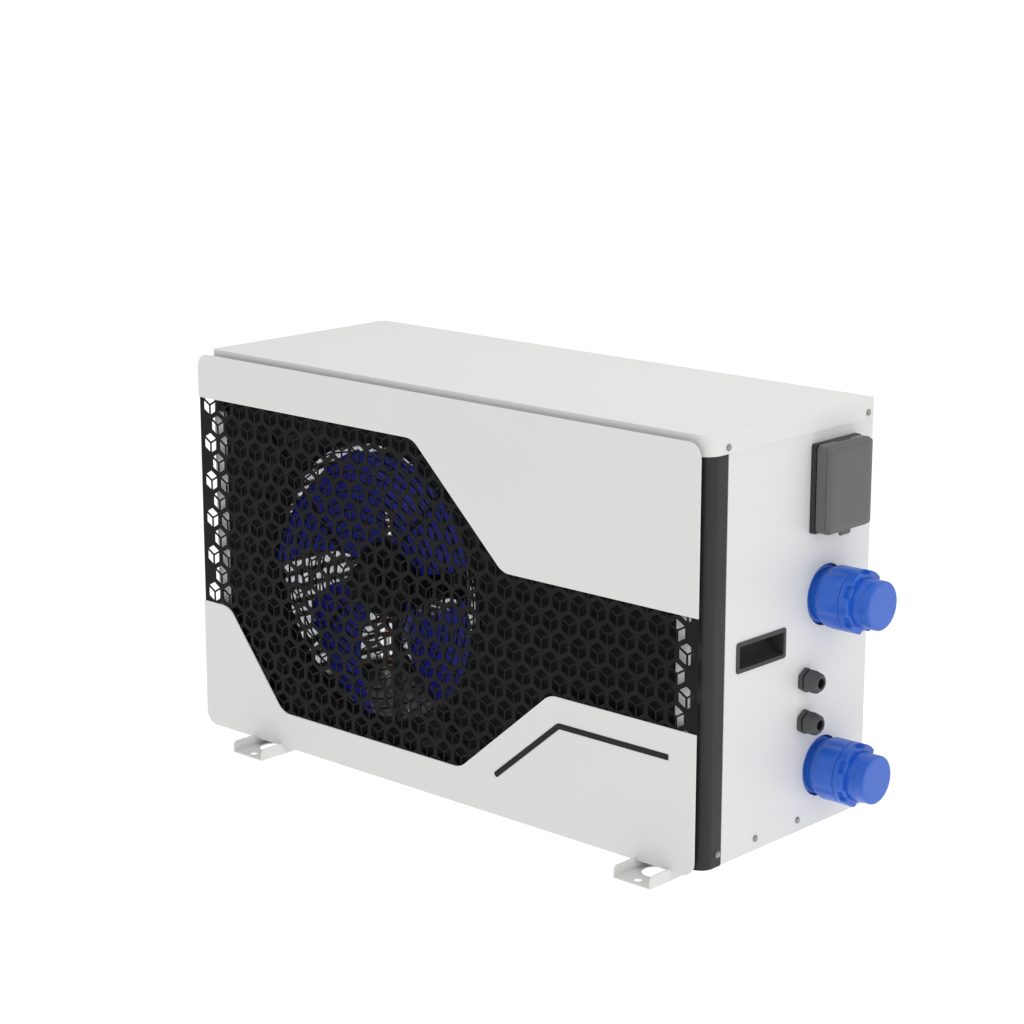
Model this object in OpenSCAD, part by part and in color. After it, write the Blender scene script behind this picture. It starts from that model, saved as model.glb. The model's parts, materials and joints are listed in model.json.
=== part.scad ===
// Pool heat pump: a white sheet-metal cabinet on two rails, with a perforated black band across the front,
// an axial fan behind it, a compressor and a titanium water exchanger, and blue water unions on the right.
// The origin is the middle of the four anchor holes, on the floor. +X points to the unions, -Y to the front.

/* [Cabinet] */
// Width of the cabinet
body_w = 980; // [960:5:1000]
// Depth of the cabinet, front post to rear panel
body_d = 372; // [368:1:380]
// Height of the cabinet, lower edge of the side panel to the lid
body_h = 605; // [600:1:612]
// Place of the cabinet's middle along X
body_x = -23; // [-25:0.5:-21]
// Sheet thickness of the cabinet
sheet = 1.5; // [1.2:0.1:1.6]
// Height of the lid's skirt
skirt_h = 29; // [26:1:32]
// How far the lid stands proud of the side panels
lid_lip = 2; // [1.8:0.1:2.4]

/* [Feet] */
// Height of the foot rails
foot_h = 18; // [17:0.5:20]
// Width of a foot rail
foot_w = 65; // [60:1:68]
// Length of a foot rail
foot_l = 486; // [480:1:490]
// Anchor hole spacing along X
anchor_x = 783; // [780:1:786]
// Anchor hole spacing along Y
anchor_y = 458; // [454:1:460]
// Radius of an anchor hole
anchor_r = 6; // [5:0.5:7]

/* [Front panel] */
// Width of the front panel
front_w = 1000; // [996:1:1004]
// Height of the front panel
front_h = 602; // [598:1:606]
// Overhang of the front panel past the cabinet's left side
front_over = 23.5; // [20:0.5:26]
// Distance of the front panel's outer face from the cabinet's front
front_gap = 12.3; // [12:0.1:14]
// Corner radius of the front panel
front_r = 21; // [16:1:26]
// Radius of the bends in the plates' outlines
bend_r = 33; // [24:1:40]
// Side length of one hexagon of the perforation
cell = 20.1; // [19.5:0.1:20.5]
// Radius of one hexagonal opening, centre to corner
cell_open = 16; // [14:0.5:16.5]

/* [Fan] */
// Place of the fan's axis along X
fan_x = -185; // [-190:1:-180]
// Height of the fan's axis
fan_z = 304; // [300:1:308]
// Radius of the fan over its blade tips
fan_r = 203; // [195:1:205]
// Radius of the bell mouth's throat
throat_r = 212; // [210:1:215]
// Outer radius of the bell mouth
bell_r = 260; // [255:1:264]
// Number of blades
blades = 4; // [3:1:5]

/* [Water side] */
// Place of both water unions along Y
water_y = 85; // [83:1:87]
// Height of the lower water union, the inlet
inlet_z = 104.5; // [102:0.5:107]
// Height of the upper water union, the outlet
outlet_z = 357; // [354:1:360]
// Radius of the panel's holes for the unions
union_hole_r = 44.4; // [43:0.2:45]
// Outer radius of a union nut
union_nut_r = 45.5; // [44:0.5:46]
// Bore radius of the pipe socket
pipe_r = 31.6; // [31.5:0.05:31.8]
// Travel of a transport cap as it is pulled off
cap_travel = 80; // [60:5:100]

/* [Cable side] */
// Place of the cable glands along Y
gland_y = 39.7; // [38:0.5:42]
// Heights of the lower and the upper cable gland
gland_z = [181.2, 242.3];
// Radius of the cable opening
cable_r = 7; // [6:0.5:7.5]

/* [Controller] */
// Width of the controller box along Y
box_w = 106; // [104:1:110]
// Height of the controller box
box_h = 127; // [124:1:130]
// Front edge of the controller box along Y
box_y = 40.7; // [38:0.5:44]
// Lower edge of the controller box
box_z = 452; // [448:1:455]

/* [Hidden] */

// Derived places of the cabinet's faces
skin_z = foot_h + 1;
x0 = body_x - body_w / 2;
x1 = body_x + body_w / 2;
y0 = -body_d / 2;
y1 = body_d / 2;
top_z = skin_z + body_h;
skirt_z = top_z - skirt_h;
front_x = x0 - front_over;
front_z = skin_z - 5;
front_y = y0 - front_gap;
plate_t = 2;
grille_t = 1.5;
plate_back = front_y + plate_t;
grille_back = plate_back + grille_t;
column_y = y0 + 43;
column_x = x1 - 27;
column_front = y0 + 4;
chamber_x = 150;
$fn = 48;

// ---- outline helpers ----
function unit(v) = v / norm(v);
// Points of a fillet of radius r at corner b between its neighbours a and c
function fillet(a, b, c, r, n) = r <= 0 ? [b] :
    let (u = unit(a - b), w = unit(c - b), half = acos(u * w) / 2, t = r / tan(half),
        m = b + unit(u + w) * r / sin(half), p = b + u * t - m, q = b + w * t - m,
        from = atan2(p.y, p.x), turn = atan2(p.x * q.y - p.y * q.x, p * q))
    [for (i = [0:n]) m + r * [cos(from + turn * i / n), sin(from + turn * i / n)]];
function rounded(pts, radii, n = 6) = [for (i = [0:len(pts) - 1])
    each fillet(pts[(i + len(pts) - 1) % len(pts)], pts[i], pts[(i + 1) % len(pts)], radii[i], n)];
// A corner-rounded rectangle as an outline, corners in order from low left, anticlockwise
function box_outline(a, b, radii) = rounded([a, [b.x, a.y], b, [a.x, b.y]], radii);

// Stands an outline drawn in X and Z up at depth y, growing towards the back by t
module upright(y, t) translate([0, y + t, 0]) rotate([90, 0, 0]) linear_extrude(t) children();
// Stands an outline drawn in Y and Z up at place x, growing towards the right by t
module sideways(x, t) translate([x, 0, 0]) rotate([90, 0, 90]) linear_extrude(t) children();
// Cylinder along X from x = a to x = b
module rod_x(a, b, r, y, z, sides = $fn) translate([a, y, z]) rotate([0, 90, 0]) cylinder(h = b - a, r = r, $fn = sides);
// Cylinder along Y from y = a to y = b
module rod_y(a, b, r, x, z, sides = $fn) translate([x, a, z]) rotate([-90, 0, 0]) cylinder(h = b - a, r = r, $fn = sides);
module ring_x(a, b, r_out, r_in, y, z) difference() {
    rod_x(a, b, r_out, y, z);
    rod_x(a - 1, b + 1, r_in, y, z);
}
module block(a, b) translate(a) cube(b - a);

// ---- base and cabinet ----
module base_pan() color("gainsboro") difference() {
    translate([0, 0, foot_h]) linear_extrude(34)
        polygon(box_outline([x0 + 2, y0 + 7], [x1 - 4, y1 - 2.5], [3, 18, 3, 3]));
    translate([0, 0, foot_h + sheet]) linear_extrude(40)
        polygon(box_outline([x0 + 2 + sheet, y0 + 7 + sheet], [x1 - 4 - sheet, y1 - 2.5 - sheet], [2, 17, 2, 2]));
    for (x = [-330, -40]) translate([x, 40, foot_h - 1]) cylinder(h = 4, r = 12);
    for (y = [-150.5, side_screw_places[0].x, side_screw_places[1].x]) rod_x(x1 - 12, x1, 2.2, y, skin_z + 17);
}

module foot(x) color("white") translate([x, 0, 0]) {
    difference() {
        translate([-foot_w / 2, -foot_l / 2, 0]) cube([foot_w, foot_l, 2]);
        for (s = [-1, 1]) {
            translate([0, s * anchor_y / 2, -1]) cylinder(h = 4, r = anchor_r);
            translate([0, s * (anchor_y / 2 - 41), -1]) cylinder(h = 4, r = 21.5);
        }
    }
    difference() {
        for (s = [-1, 1]) sideways(s * (foot_w / 2 - 1) - 1, 2)
            polygon(box_outline([-foot_l / 2, 2], [foot_l / 2, foot_h], [0, 0, 7, 7]));
        block([-foot_w, front_y - 0.5, front_z - 0.4], [foot_w, front_y + 4.2, foot_h + 1]);
    }
}
module foot_left() foot(-anchor_x / 2);
module foot_right() foot(anchor_x / 2);

module top_cover() color("white") {
    radii = [6, 24, 6, 12];
    difference() {
        translate([0, 0, skirt_z]) linear_extrude(skirt_h)
            polygon(box_outline([x0 - lid_lip, y0 - 0.5], [x1 + lid_lip, y1 + lid_lip], radii));
        translate([0, 0, skirt_z - 1]) linear_extrude(skirt_h - sheet + 1)
            polygon(box_outline([x0 - lid_lip + sheet, y0 - 0.5 + sheet],
                [x1 + lid_lip - sheet, y1 + lid_lip - sheet], [4.5, 22.5, 4.5, 10.5]));
        lid_holes();
    }
}
module lid_holes() for (y = [-146.8, 170.8]) {
    rod_x(x1 - 2, x1 + 5, 2.6, y, top_z - 20);
    rod_x(x0 - 5, x0 + 2, 2.6, y, top_z - 20);
}

// Whatever reaches up under the lid keeps clear of its skirt, its corners and its top
module under_lid() intersection() {
    children();
    union() {
        block([x0 - 50, y0 - 50, 0], [x1 + 50, y1 + 50, skirt_z - 0.4]);
        translate([0, 0, skirt_z - 1]) linear_extrude(skirt_h - sheet + 0.6)
            polygon(box_outline([x0 - lid_lip + sheet + 0.3, y0 - 0.2 + sheet],
                [x1 + lid_lip - sheet - 0.3, y1 + lid_lip - sheet - 0.3], [4.2, 22.2, 4.2, 10.2]));
    }
}

// Flat side panel, cut for the unions, glands, handle and wiring
module right_side_panel() color("white") under_lid() difference() {
    block([x1 - sheet, column_y, skin_z], [x1, y1, top_z - 4]);
    for (z = [inlet_z, outlet_z]) rod_x(x1 - 5, x1 + 5, union_hole_r, water_y, z);
    for (z = gland_z) rod_x(x1 - 5, x1 + 5, 12.75, gland_y, z);
    block([x1 - 5, handle_a.x + 4, handle_a.y + 4], [x1 + 5, handle_b.x - 4, handle_b.y - 4]);
    rod_x(x1 - 5, x1 + 5, 16, box_y + box_w / 2, box_z + 40);
    for (p = side_screw_places) rod_x(x1 - 5, x1 + 5, 2.2, p.x, p.y);
    rod_x(x1 - 5, x1 + 5, 2.2, 170.8, top_z - 20);
}
side_screw_places = [[-67, skin_z + 17], [31.3, skin_z + 17]];

module rear_panel() color("white") under_lid() difference() {
    block([chamber_x + 2, y1 - sheet, skin_z], [x1 - sheet, y1, top_z - 4]);
    for (i = [0:9]) block([chamber_x + 60, y1 - 5, 120 + i * 14], [chamber_x + 180, y1 + 5, 125 + i * 14]);
}

// Open guard over the coil: a frame with upright and level bars, drawn from p to q in its own plane
module guard_grid(p, q, cols, rows) {
    bar = 3;
    rim = 16;
    difference() {
        polygon([p, [q.x, p.y], q, [p.x, q.y]]);
        translate(p + [rim, rim]) square(q - p - [2 * rim, 2 * rim]);
    }
    w = (q.x - p.x - 2 * rim) / cols;
    h = (q.y - p.y - 2 * rim) / rows;
    for (i = [1:cols - 1]) translate([p.x + rim + i * w - bar / 2, p.y + rim - 1])
        square([bar, q.y - p.y - 2 * rim + 2]);
    for (j = [1:rows - 1]) translate([p.x + rim - 1, p.y + rim + j * h - bar / 2])
        square([q.x - p.x - 2 * rim + 2, bar]);
}
module rear_guard() color("white") under_lid() upright(y1 - sheet, sheet)
    guard_grid([x0 + 2, skin_z], [chamber_x + 1, top_z - 4], 22, 12);
module left_guard() color("white") under_lid() difference() {
    sideways(x0, sheet) guard_grid([y0 + 42, skin_z], [y1 - 2, top_z - 4], 11, 12);
    rod_x(x0 - 5, x0 + 5, 2.2, 170.8, top_z - 20);
}

module left_post() color("white") {
    block([x0, y0, skin_z], [x0 + 27, y0 + sheet, skirt_z - 0.4]);
    under_lid() difference() {
        block([x0, y0 + sheet, skin_z], [x0 + sheet, y0 + 41, top_z - 4]);
        rod_x(x0 - 5, x0 + 5, 2.2, -146.8, top_z - 20);
    }
}
module right_post() color("white") {
    block([column_x - 23, y0, skin_z], [column_x - 0.5, y0 + sheet, skirt_z - 0.4]);
    block([column_x - 0.5 - sheet, y0 + sheet, skin_z + 34], [column_x - 0.5, y0 + 30, top_z - 4]);
}

// Corner column: an angle with a generous outer round between the front and the side
module corner_column() color("dimgray") difference() {
    translate([0, 0, foot_h]) linear_extrude(top_z - 4 - foot_h) difference() {
        polygon(rounded([[column_x, column_front], [x1 - 0.5, column_front], [x1 - 0.5, column_y - 0.5],
            [column_x, column_y - 0.5]], [0, 20, 0, 0], 10));
        polygon(rounded([[column_x - 1, column_front + 2], [x1 - 2.5, column_front + 2],
            [x1 - 2.5, column_y + 1], [column_x - 1, column_y + 1]], [0, 18, 0, 0], 10));
    }
    rod_x(x1 - 5, x1 + 5, 2.2, -150.5, skin_z + 17);
    rod_x(x1 - 5, x1 + 5, 2.2, -146.8, top_z - 20);
}

// ---- front ----
module shroud_panel() color("black") difference() {
    block([x0 + 27.5, y0, skin_z], [column_x - 23.5, y0 + sheet, skirt_z - 0.4]);
    rod_y(y0 - 1, y0 + 5, bell_r, fan_x, fan_z, 96);
}
// Bell mouth: a quarter round from the panel's face into a short throat
module bell_mouth() color("black") translate([fan_x, y0, fan_z]) rotate([-90, 0, 0]) {
    flare = bell_r - throat_r;
    reach = 28;
    rotate_extrude($fn = 96) polygon(concat(
        [for (i = [0:10]) [bell_r - 0.3 - flare * sin(i * 9), reach * (1 - cos(i * 9))]],
        [[throat_r - 0.3, reach + 6], [throat_r + 2.2, reach + 6]],
        [for (i = [10:-1:0]) [bell_r - 0.3 - (flare - 2.5) * sin(i * 9), 2.5 + (reach - 2.5) * (1 - cos(i * 9))]]));
}

// Outlines on the front are drawn from the front panel's lower left corner, in X and Z
function at_front(p) = [front_x + p.x, skin_z + p.y];
function all_at_front(pts) = [for (p = pts) at_front(p)];
low = front_z - skin_z;
high = low + front_h;
// Heights of the band's edges: wide part left, narrow part right
band_high = 528.3;
band_step = 360;
lower_step = 198.7;
band_low = 50.5;

module upper_front_plate() color("white") upright(front_y, plate_t) polygon(all_at_front(rounded(
    [[0, band_high], [469.6, band_high], [647.4, band_step], [front_w, band_step], [front_w, high], [0, high]],
    [0, bend_r, bend_r, 0, front_r, front_r])));
module lower_front_plate() color("white") upright(front_y, plate_t) polygon(all_at_front(rounded(
    [[0, low], [front_w, low], [front_w, lower_step], [737.1, lower_step], [562.2, band_low],
        [179.4, band_low], [59.4, lower_step], [0, lower_step]],
    [front_r, front_r, 0, bend_r, bend_r, bend_r, bend_r, 0])));

// Hexagon centres lie on a staggered lattice and are cut only where the band is open
function band_roof(x) = x < 469.6 ? band_high : x > 647.4 ? band_step
    : band_high - (x - 469.6) * (band_high - band_step) / (647.4 - 469.6);
function band_floor(x) = x < 59.4 ? lower_step
    : x < 179.4 ? lower_step - (x - 59.4) * (lower_step - band_low) / 120
    : x < 562.2 ? band_low
    : x < 737.1 ? band_low + (x - 562.2) * (lower_step - band_low) / 174.9 : lower_step;
cell_pitch = cell * sqrt(3) / 2;
cell_columns = floor((front_w - 40) / cell_pitch);
module front_grille() color("black") difference() {
    upright(plate_back, grille_t) polygon(all_at_front(rounded(
        [[1, low + 1], [front_w - 1, low + 1], [front_w - 1, high - 1], [1, high - 1]],
        [front_r - 1, front_r - 1, front_r - 1, front_r - 1])));
    for (k = [0:cell_columns - 1]) for (j = [0:8]) {
        x = 23.2 + k * cell_pitch;
        z = 517.7 - 3 * cell * (j + (k % 2) / 2);
        if (z < band_roof(x) + 6 && z > band_floor(x) - 6)
            translate([at_front([x, z]).x, plate_back - 1, at_front([x, z]).y]) rotate([-90, 30, 0])
                cylinder(h = grille_t + 2, r = cell_open, $fn = 6);
    }
}

// Raised line that follows the lower plate's right-hand slope, then runs level
trim_w = 8.6;
trim_slope = [cos(39.9), sin(39.9)];
trim_corner = [754.6, 157];
trim_start = trim_corner - 158.5 * trim_slope;
trim_end = [953.5, 157];
module chevron_trim() color("black") upright(front_y - 0.8, 0.8) polygon(all_at_front(let (
    side = [-trim_slope.y, trim_slope.x] * trim_w / 2, lift = [0, trim_w / 2], mitre = tan(39.9 / 2) * trim_w / 2)
    rounded([trim_start + side, trim_start - side, trim_corner - lift + [mitre, 0], trim_end - lift,
        trim_end + lift, trim_corner + lift - [mitre, 0]], [3, 3, 6, 2, 2, 12])));

spacer_places = [[50, 519], [50, 75], [500, 560], [962, 560], [962, 40], [500, 20]];
module panel_spacers() color("black") for (p = spacer_places)
    let (q = at_front(p)) rod_y(grille_back, y0, 9, q.x, q.y);

// Guard: flat concentric rings on four spokes, just ahead of the shroud panel
module fan_guard() color("black") translate([fan_x, y0 - 0.2, fan_z]) rotate([90, 0, 0]) {
    rotate_extrude($fn = 96) {
        square([26, 2.4]);
        for (i = [0:12]) translate([38 + i * 17.6, 0]) square([2.6, 5]);
    }
    for (a = [45:90:315]) rotate([0, 0, a]) translate([20, -2.5, 0]) cube([bell_r + 34, 5, 2.4]);
}

// ---- fan ----
fan_y = y0 + 52;
motor_y = y0 + 114;
module fan_motor() color("dimgray") difference() {
    union() {
        rod_y(motor_y, motor_y + 72, 54, fan_x, fan_z);
        rod_y(motor_y - 14, motor_y, 24, fan_x, fan_z);
        for (s = [-1, 1]) block([fan_x - 76, motor_y + 20, fan_z + s * 30 - 8],
            [fan_x + 76, motor_y + 26, fan_z + s * 30 + 8]);
    }
    rod_y(motor_y - 20, motor_y + 40, 8.05, fan_x, fan_z);
}
// Two uprights with cross bars carry the motor by its lugs
module motor_bracket() color("silver") {
    for (s = [-1, 1]) block([fan_x + s * 70 - 12, motor_y + 26, foot_h + sheet],
        [fan_x + s * 70 + 12, motor_y + 28, top_z - 8]);
    for (z = [fan_z - 72, fan_z + 62]) block([fan_x - 82, motor_y + 28, z], [fan_x + 82, motor_y + 30, z + 10]);
}
module motor_shaft() color("silver") rod_y(y0 + 12, motor_y + 38, 8, fan_x, fan_z);

// One blade: a thin sheet with a swept outline and a round tip, pitched about its own radius
module blade() intersection() {
    rotate([0, -20, 0]) translate([0, 0, -1.5]) linear_extrude(3) polygon(rounded(
        [[-26, 42], [32, 42], [96, 112], [128, 230], [-60, 230], [-78, 118]], [0, 0, 40, 0, 0, 60]));
    translate([0, 0, -60]) cylinder(h = 120, r = fan_r, $fn = 96);
}
module fan_impeller() color("mediumblue") translate([fan_x, fan_y, fan_z]) rotate([90, 0, 0]) difference() {
    union() {
        translate([0, 0, -34]) cylinder(h = 60, r = 50);
        for (i = [0:blades - 1]) rotate([0, 0, i * 360 / blades + 35]) blade();
    }
    translate([0, 0, -40]) cylinder(h = 80, r = 8);
    translate([0, 0, -40]) cylinder(h = 30, r = 42);
}
module fan_nut() color("silver") difference() {
    rod_y(fan_y - 38, fan_y - 26, 13, fan_x, fan_z, 6);
    rod_y(fan_y - 42, fan_y - 20, 8, fan_x, fan_z);
}

// ---- evaporator, behind and left of the fan ----
coil_t = 38;
coil_low = foot_h + sheet;
coil_high = top_z - 12;
coil_x = x0 + 60;
coil_y = y1 - 60;
fin_step = 10;
// A bent core sheet with upright fins on both legs, standing for the close fins and their tube rows
module evaporator_coil() color("lightgray") {
    block([coil_x - 1, y1 - 9 - coil_t / 2, coil_low], [chamber_x - 34, y1 - 7 - coil_t / 2, coil_high]);
    block([x0 + 7 + coil_t / 2, y0 + 60, coil_low], [x0 + 9 + coil_t / 2, coil_y + 1, coil_high]);
    translate([coil_x, coil_y, coil_low]) rotate([0, 0, 90]) rotate_extrude(angle = 90)
        translate([51 - coil_t / 2, 0]) square([2, coil_high - coil_low]);
    for (x = [coil_x + 2 : fin_step : chamber_x - 35])
        block([x, y1 - 8 - coil_t, coil_low], [x + 1, y1 - 8, coil_high]);
    for (y = [y0 + 60 : fin_step : coil_y - 1])
        block([x0 + 8, y, coil_low], [x0 + 8 + coil_t, y + 1, coil_high]);
    for (a = [102:13:170]) translate([coil_x, coil_y, coil_low]) rotate([0, 0, a])
        translate([52 - coil_t, -0.5, 0]) cube([coil_t, 1, coil_high - coil_low]);
}
module evaporator_tubes() color("peru") for (j = [0:11]) translate([chamber_x - 34, y1 - 8 - coil_t / 2, 62 + j * 48])
    rotate([90, 0, 0]) rotate([0, 0, -90]) rotate_extrude(angle = 180) translate([12, 0]) circle(r = 4.8, $fn = 24);

module partition_panel() color("gainsboro") difference() {
    block([chamber_x, y0 + 9, foot_h + sheet], [chamber_x + sheet, y1 - 4, top_z - 8]);
    rod_x(chamber_x - 5, chamber_x + 5, 10, pipe_row_y, 100);
    rod_x(chamber_x - 5, chamber_x + 5, 12, pipe_row_y, 260);
}

// ---- refrigerant side ----
comp = [244, -36];
pipe_row_y = 150;
module compressor() color("#202226") {
    translate([comp.x, comp.y, 52]) cylinder(h = 226, r = 58);
    translate([comp.x, comp.y, 278]) cylinder(h = 22, r1 = 58, r2 = 36);
    difference() {
        translate([0, 0, 44]) linear_extrude(8) polygon(rounded([for (a = [0:120:240])
            [comp.x, comp.y] + 118 * [cos(a + 90), sin(a + 90)]], [22, 22, 22]));
        for (a = [0:120:240]) translate([comp.x + 84 * cos(a + 90), comp.y + 84 * sin(a + 90), 40])
            cylinder(h = 20, r = 7);
    }
}
module compressor_grommets() color("black") for (a = [0:120:240])
    translate([comp.x + 84 * cos(a + 90), comp.y + 84 * sin(a + 90), foot_h + sheet]) {
        cylinder(h = 44 - foot_h - sheet, r = 13);
        translate([0, 0, 44 - foot_h - sheet]) cylinder(h = 12, r = 6.8);
    }
module accumulator() color("#202226") {
    translate([comp.x + 100, comp.y - 60, 90]) cylinder(h = 170, r = 28);
    translate([comp.x + 100, comp.y - 60, 260]) cylinder(h = 14, r1 = 28, r2 = 10);
    translate([comp.x + 100, comp.y - 60, 76]) cylinder(h = 14, r1 = 10, r2 = 28);
}
hx = [x1 - 108, water_y];
module heat_exchanger() color("#303338") difference() {
    union() {
        translate([hx.x, hx.y, foot_h + sheet]) cylinder(h = 24, r = 58);
        translate([hx.x, hx.y, foot_h + sheet + 24]) cylinder(h = 376, r = 68);
        translate([hx.x, hx.y, foot_h + sheet + 400]) cylinder(h = 18, r1 = 68, r2 = 46);
        for (z = [inlet_z, outlet_z]) rod_x(hx.x + 40, x1 - 34, 37, water_y, z);
    }
    translate([hx.x, hx.y, foot_h + 30]) cylinder(h = 366, r = 62);
    for (z = [inlet_z, outlet_z]) rod_x(hx.x + 30, x1 - 33, 27, water_y, z);
}
module pipe_z(x, y, a, b, r) translate([x, y, a]) cylinder(h = b - a, r = r, $fn = 24);
// Level half loop that joins two uprights, drawn as a half torus standing on them
module loop(p, q, z, r) let (m = (p + q) / 2, d = (q - p) / 2)
    translate([m.x, m.y, z]) rotate([0, 0, atan2(d.y, d.x)]) rotate([90, 0, 0])
        rotate_extrude(angle = 180) translate([norm(d), 0]) circle(r = r, $fn = 24);
module refrigerant_pipes() color("peru") {
    suction = [comp.x + 100, comp.y - 60];
    discharge = [comp.x - 14, comp.y + 10];
    valve = [comp.x + 10, comp.y + 92];
    pipe_z(suction.x, suction.y, 274, 350, 7);
    loop(suction, [valve.x + 22, valve.y], 350, 7);
    pipe_z(discharge.x, discharge.y, 300, 350, 6);
    loop(discharge, [valve.x - 22, valve.y], 350, 6);
    pipe_z(valve.x - 22, valve.y, 280, 312, 7);
    pipe_z(valve.x + 22, valve.y, 280, 312, 7);
    rod_x(valve.x + 22, hx.x - 65, 7, valve.y, 280);
    rod_x(chamber_x - 16, valve.x - 22, 7, pipe_row_y, 260);
    rod_y(valve.y, pipe_row_y, 7, valve.x - 22, 280);
    pipe_z(valve.x - 22, pipe_row_y, 253, 287, 7);
    rod_x(chamber_x - 16, hx.x - 35, 5, pipe_row_y, 100);
}
module four_way_valve() color("goldenrod") {
    valve = [comp.x + 10, comp.y + 92];
    rod_x(valve.x - 42, valve.x + 31, 15, valve.y, 327);
    for (s = [-1, 1]) pipe_z(valve.x + s * 22, valve.y, 312, 350, 9);
}
module electrical_box() color("gainsboro") difference() {
    block([chamber_x + 6, y0 + 16, 450], [x1 - 52, 0, top_z - 14]);
    block([chamber_x + 8, y0 + 18, 452], [x1 - 54, -2, top_z - 10]);
    for (x = [240, 340]) translate([x, -60, 440]) cylinder(h = 20, r = 14);
}
module terminal_block() color("black") {
    block([x1 - 150, y0 + 40, 452], [x1 - 70, y0 + 72, 466]);
    for (i = [0:5]) block([x1 - 147 + i * 12.6, y0 + 46, 466], [x1 - 138 + i * 12.6, y0 + 66, 478]);
}

// ---- water unions ----
module union_tail(z) difference() {
    union() {
        rod_x(x1 - 34, x1 + 6, 34, water_y, z);
        rod_x(x1 + 6, x1 + 36, 38.5, water_y, z);
    }
    rod_x(x1 - 40, x1 + 40, 27, water_y, z);
}
module union_tails() color("mediumblue") for (z = [inlet_z, outlet_z]) union_tail(z);
module union_orings() color("black") for (z = [inlet_z, outlet_z]) ring_x(x1 + 36, x1 + 38, 33.5, 29.5, water_y, z);
// Nut: chamfered at the back, twelve broad flats of grip on the barrel, an inner lip at its outer end
module union_nut(z) difference() {
    union() {
        translate([x1 + 5, water_y, z]) rotate([0, 90, 0]) cylinder(h = 14, r1 = 41, r2 = union_nut_r);
        rod_x(x1 + 19, x1 + 50, union_nut_r, water_y, z);
    }
    rod_x(x1, x1 + 45, 38.56, water_y, z);
    rod_x(x1 + 40, x1 + 55, 36, water_y, z);
}
module union_nut_inlet() color("royalblue") union_nut(inlet_z);
module union_nut_outlet() color("royalblue") union_nut(outlet_z);
socket_end = x1 + 93;
module union_sockets() color("royalblue") for (z = [inlet_z, outlet_z]) difference() {
    union() {
        rod_x(x1 + 38, x1 + 44.6, 38, water_y, z);
        rod_x(x1 + 44.6, socket_end - 12, 35.2, water_y, z);
        rod_x(socket_end - 12, socket_end, 33.6, water_y, z);
    }
    rod_x(x1 + 30, socket_end + 5, 27, water_y, z);
    rod_x(x1 + 58, socket_end + 5, pipe_r, water_y, z);
}
module union_collars() color("royalblue") for (z = [inlet_z, outlet_z])
    ring_x(x1 + 52.5, x1 + 68, union_nut_r, 35.2, water_y, z);
// Transport cap: a shallow cup pushed over the turned-down end of the socket
module transport_cap(z) difference() {
    rod_x(socket_end - 11.7, socket_end + 3, 35.2, water_y, z);
    rod_x(socket_end - 13, socket_end + 0.4, 33.66, water_y, z);
}
module cap_inlet() color("cornflowerblue") transport_cap(inlet_z);
module cap_outlet() color("cornflowerblue") transport_cap(outlet_z);

// ---- cable glands ----
module hex_x(a, b, flats, y, z) translate([a, y, z]) rotate([0, 90, 0]) rotate([0, 0, 90])
    cylinder(h = b - a, r = flats / 2 / cos(30), $fn = 6);
module gland_bodies() color("dimgray") for (z = gland_z) difference() {
    union() {
        rod_x(x1 - 12, x1, 12.3, gland_y, z);
        hex_x(x1, x1 + 6.5, 32, gland_y, z);
        rod_x(x1 + 6.5, x1 + 20, 12, gland_y, z);
    }
    rod_x(x1 - 20, x1 + 30, 9, gland_y, z);
    rod_x(x1 + 14, x1 + 30, 10.4, gland_y, z);
}
module gland_nut(z) difference() {
    union() {
        hex_x(x1 + 9, x1 + 23, 30, gland_y, z);
        translate([x1 + 23, gland_y, z]) rotate([0, 90, 0]) cylinder(h = 10, r1 = 14.8, r2 = 10.4);
    }
    rod_x(x1 + 5, x1 + 27.5, 12.06, gland_y, z);
    rod_x(x1 + 20, x1 + 40, cable_r + 0.8, gland_y, z);
}
module gland_nut_power() color("dimgray") gland_nut(gland_z[0]);
module gland_nut_signal() color("dimgray") gland_nut(gland_z[1]);
module gland_seals() color("black") for (z = gland_z) ring_x(x1 + 14, x1 + 27, 10.2, cable_r, gland_y, z);
module gland_locknuts() color("dimgray") for (z = gland_z) difference() {
    hex_x(x1 - sheet - 6, x1 - sheet, 32, gland_y, z);
    rod_x(x1 - 20, x1 + 5, 12.3, gland_y, z);
}

// ---- carrying handle ----
handle_a = [-118.6, 285.3];
handle_b = [-8.1, 328.8];
handle_depth = 34;
// A framed pocket, deep under its top edge, whose back curves forward to the lower edge
module handle_recess() color("#222222") {
    difference() {
        union() {
            sideways(x1, 2) polygon(box_outline(handle_a, handle_b, [3, 3, 3, 3]));
            block([x1 - handle_depth, handle_a.x + 4.5, handle_a.y + 4.5], [x1, handle_b.x - 4.5, handle_b.y - 4.5]);
        }
        block([x1 - handle_depth + 2, handle_a.x + 6.5, handle_a.y + 6.5],
            [x1 + 5, handle_b.x - 6.5, handle_b.y - 6.5]);
    }
    w = handle_b.x - handle_a.x - 12.8;
    h = handle_b.y - handle_a.y - 12.8;
    d = handle_depth - 2;
    translate([x1 - handle_depth + 1.9, handle_a.x + 6.4 + w, handle_a.y + 6.4]) rotate([90, 0, 0]) linear_extrude(w)
        polygon(concat([[0, 0]], [for (i = [0:8]) [d * (1 - sin(i * 11.25)), h * (1 - cos(i * 11.25))]]));
}

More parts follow.
